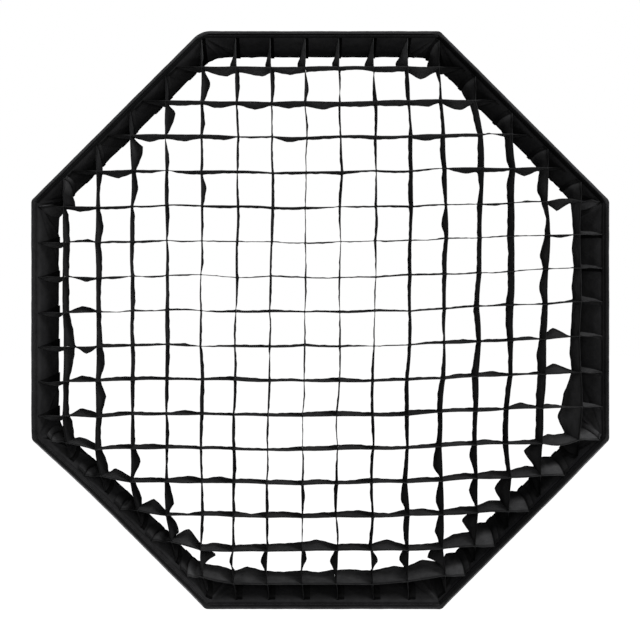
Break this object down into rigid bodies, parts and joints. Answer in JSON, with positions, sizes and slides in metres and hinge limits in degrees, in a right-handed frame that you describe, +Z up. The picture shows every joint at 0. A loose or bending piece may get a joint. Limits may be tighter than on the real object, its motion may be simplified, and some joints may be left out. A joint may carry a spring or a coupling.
{
  "type": "softbox honeycomb grid",
  "caption": "Octagonal cloth egg-crate grid for the front of a softbox: interlocking black strips in a tapered cloth wall with a bound rim and hook tape.",
  "frame": {"origin": "centre of the octagon, in the plane of the rim's front face", "axes": "+X to the right as seen from the front, +Y from the front face to the rear, +Z up as hung on the softbox"},
  "size_m": [0.85, 0.052, 0.85],
  "materials": {
    "grid_cloth": "black plain-weave nylon with a soft sheen, slit and interlocked, edges heat-cut",
    "wall_cloth": "doubled black plain-weave nylon, sewn at the corners",
    "binding_tape": "black woven binding tape, folded over the rim and stitched",
    "hook_tape": "black hook tape, sewn along its edges"
  },
  "bodies": {
    "root": {"rim_binding": "binding_tape", "wall_panel_right": "wall_cloth", "hook_tape_right": "hook_tape", "wall_panel_upper_right": "wall_cloth", "hook_tape_upper_right": "hook_tape", "wall_panel_top": "wall_cloth", "hook_tape_top": "hook_tape", "wall_panel_upper_left": "wall_cloth", "hook_tape_upper_left": "hook_tape", "wall_panel_left": "wall_cloth", "hook_tape_left": "hook_tape", "wall_panel_lower_left": "wall_cloth", "hook_tape_lower_left": "hook_tape", "wall_panel_bottom": "wall_cloth", "hook_tape_bottom": "hook_tape", "wall_panel_lower_right": "wall_cloth", "hook_tape_lower_right": "hook_tape", "vertical_strip_01": "grid_cloth", "vertical_strip_02": "grid_cloth", "vertical_strip_03": "grid_cloth", "vertical_strip_04": "grid_cloth", "vertical_strip_05": "grid_cloth", "vertical_strip_06": "grid_cloth", "vertical_strip_07": "grid_cloth", "vertical_strip_08": "grid_cloth", "vertical_strip_09": "grid_cloth", "vertical_strip_10": "grid_cloth", "vertical_strip_11": "grid_cloth", "vertical_strip_12": "grid_cloth", "vertical_strip_13": "grid_cloth", "vertical_strip_14": "grid_cloth", "vertical_strip_15": "grid_cloth", "vertical_strip_16": "grid_cloth", "horizontal_strip_01": "grid_cloth", "horizontal_strip_02": "grid_cloth", "horizontal_strip_03": "grid_cloth", "horizontal_strip_04": "grid_cloth", "horizontal_strip_05": "grid_cloth", "horizontal_strip_06": "grid_cloth", "horizontal_strip_07": "grid_cloth", "horizontal_strip_08": "grid_cloth", "horizontal_strip_09": "grid_cloth", "horizontal_strip_10": "grid_cloth", "horizontal_strip_11": "grid_cloth", "horizontal_strip_12": "grid_cloth", "horizontal_strip_13": "grid_cloth", "horizontal_strip_14": "grid_cloth", "horizontal_strip_15": "grid_cloth", "horizontal_strip_16": "grid_cloth"}
  },
  "joints": []
}
